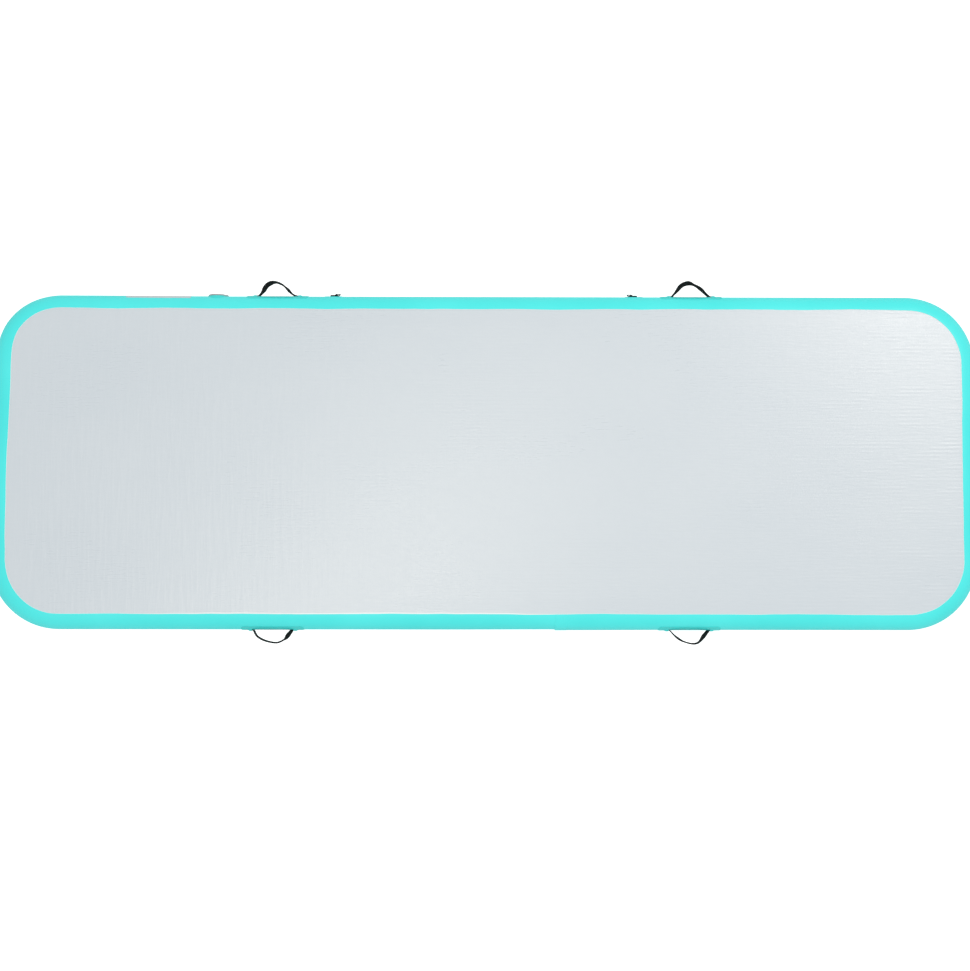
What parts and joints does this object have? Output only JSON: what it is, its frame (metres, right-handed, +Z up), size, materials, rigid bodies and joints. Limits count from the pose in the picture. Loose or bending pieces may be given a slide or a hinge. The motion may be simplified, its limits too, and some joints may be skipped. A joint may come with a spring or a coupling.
{
  "type": "air track mat",
  "caption": "Long inflated tumbling mat: flat drop-stitch skins, a round coloured wall band, webbing carry handles, D-rings and an inflation valve with a leashed cap.",
  "frame": {"origin": "centre of the underside, on the floor", "axes": "+X along the mat, +Y towards the wall with the valve, +Z up"},
  "size_m": [3, 1.107, 0.1],
  "materials": {
    "panel_skin": "satin",
    "band": "satin",
    "inner_band": "matte",
    "yarn": "matte",
    "webbing": "matte",
    "d_ring": "satin",
    "label": "satin",
    "seal": "matte",
    "spring": "satin",
    "valve_plastic": "satin",
    "leash": "satin"
  },
  "bodies": {
    "mat": {"bottom_panel": "panel_skin", "d_ring_patch_left": "band", "d_ring_patch_right": "band", "d_ring_tab_left": "webbing", "d_ring_tab_right": "webbing", "drop_threads": "yarn", "handle_end_back_left_left": "webbing", "handle_end_back_left_right": "webbing", "handle_end_back_right_left": "webbing", "handle_end_back_right_right": "webbing", "handle_end_front_left_left": "webbing", "handle_end_front_left_right": "webbing", "handle_end_front_right_left": "webbing", "handle_end_front_right_right": "webbing", "handle_patch_back_left": "band", "handle_patch_back_right": "band", "handle_patch_front_left": "band", "handle_patch_front_right": "band", "inner_wall_band": "inner_band", "label_patch": "label", "outer_wall_band": "band", "tether_base": "leash", "top_panel": "panel_skin", "valve_backing": "inner_band", "valve_body": "valve_plastic", "valve_gasket": "seal", "valve_nut": "valve_plastic", "valve_saddle": "band", "valve_spring": "spring"},
    "handle_back_left": {"handle_strap_back_left": "webbing"},
    "handle_back_right": {"handle_strap_back_right": "webbing"},
    "handle_front_left": {"handle_strap_front_left": "webbing"},
    "handle_front_right": {"handle_strap_front_right": "webbing"},
    "ring_left": {"d_ring_left": "d_ring"},
    "ring_right": {"d_ring_right": "d_ring"},
    "plunger": {"valve_plunger": "valve_plastic", "plunger_seal": "seal"},
    "leash": {"cap_tether": "leash"},
    "cap": {"valve_cap": "valve_plastic", "cap_seal": "seal"}
  },
  "joints": [
    {"name": "handle_back_left_swing", "type": "hinge", "parent": "mat", "child": "handle_back_left", "pos_m": [-0.632, 0.522, 0.05], "axis": [1, 0, 0], "range_deg": [-45, 45], "stiffness_Nm_per_rad": 0.01},
    {"name": "handle_back_right_swing", "type": "hinge", "parent": "mat", "child": "handle_back_right", "pos_m": [0.633, 0.522, 0.05], "axis": [1, 0, 0], "range_deg": [-45, 45], "stiffness_Nm_per_rad": 0.01},
    {"name": "handle_front_left_swing", "type": "hinge", "parent": "mat", "child": "handle_front_left", "pos_m": [-0.64, -0.522, 0.05], "axis": [-1, 0, 0], "range_deg": [-45, 45], "stiffness_Nm_per_rad": 0.01},
    {"name": "handle_front_right_swing", "type": "hinge", "parent": "mat", "child": "handle_front_right", "pos_m": [0.623, -0.522, 0.05], "axis": [-1, 0, 0], "range_deg": [-45, 45], "stiffness_Nm_per_rad": 0.01},
    {"name": "d_ring_left_swing", "type": "hinge", "parent": "mat", "child": "ring_left", "pos_m": [-0.452, 0.5136, 0.05], "axis": [0, 0, 1], "range_deg": [-7, 153]},
    {"name": "d_ring_right_swing", "type": "hinge", "parent": "mat", "child": "ring_right", "pos_m": [0.449, 0.5136, 0.05], "axis": [0, 0, 1], "range_deg": [-153, 7]},
    {"name": "plunger_press", "type": "slide", "parent": "mat", "child": "plunger", "axis": [0, -1, 0], "range_m": [0, 0.004], "stiffness_N_per_m": 400, "springref_m": -0.004, "deforming": ["valve_spring"]},
    {"name": "cap_flip", "type": "hinge", "parent": "mat", "child": "leash", "pos_m": [-0.785, 0.5121, 0.05], "axis": [0, 0, -1], "range_deg": [0, 160]},
    {"name": "cap_turn", "type": "hinge", "parent": "leash", "child": "cap", "pos_m": [-0.818, 0.5127, 0.05], "axis": [0, 1, 0], "range_deg": [0, 90]}
  ]
}
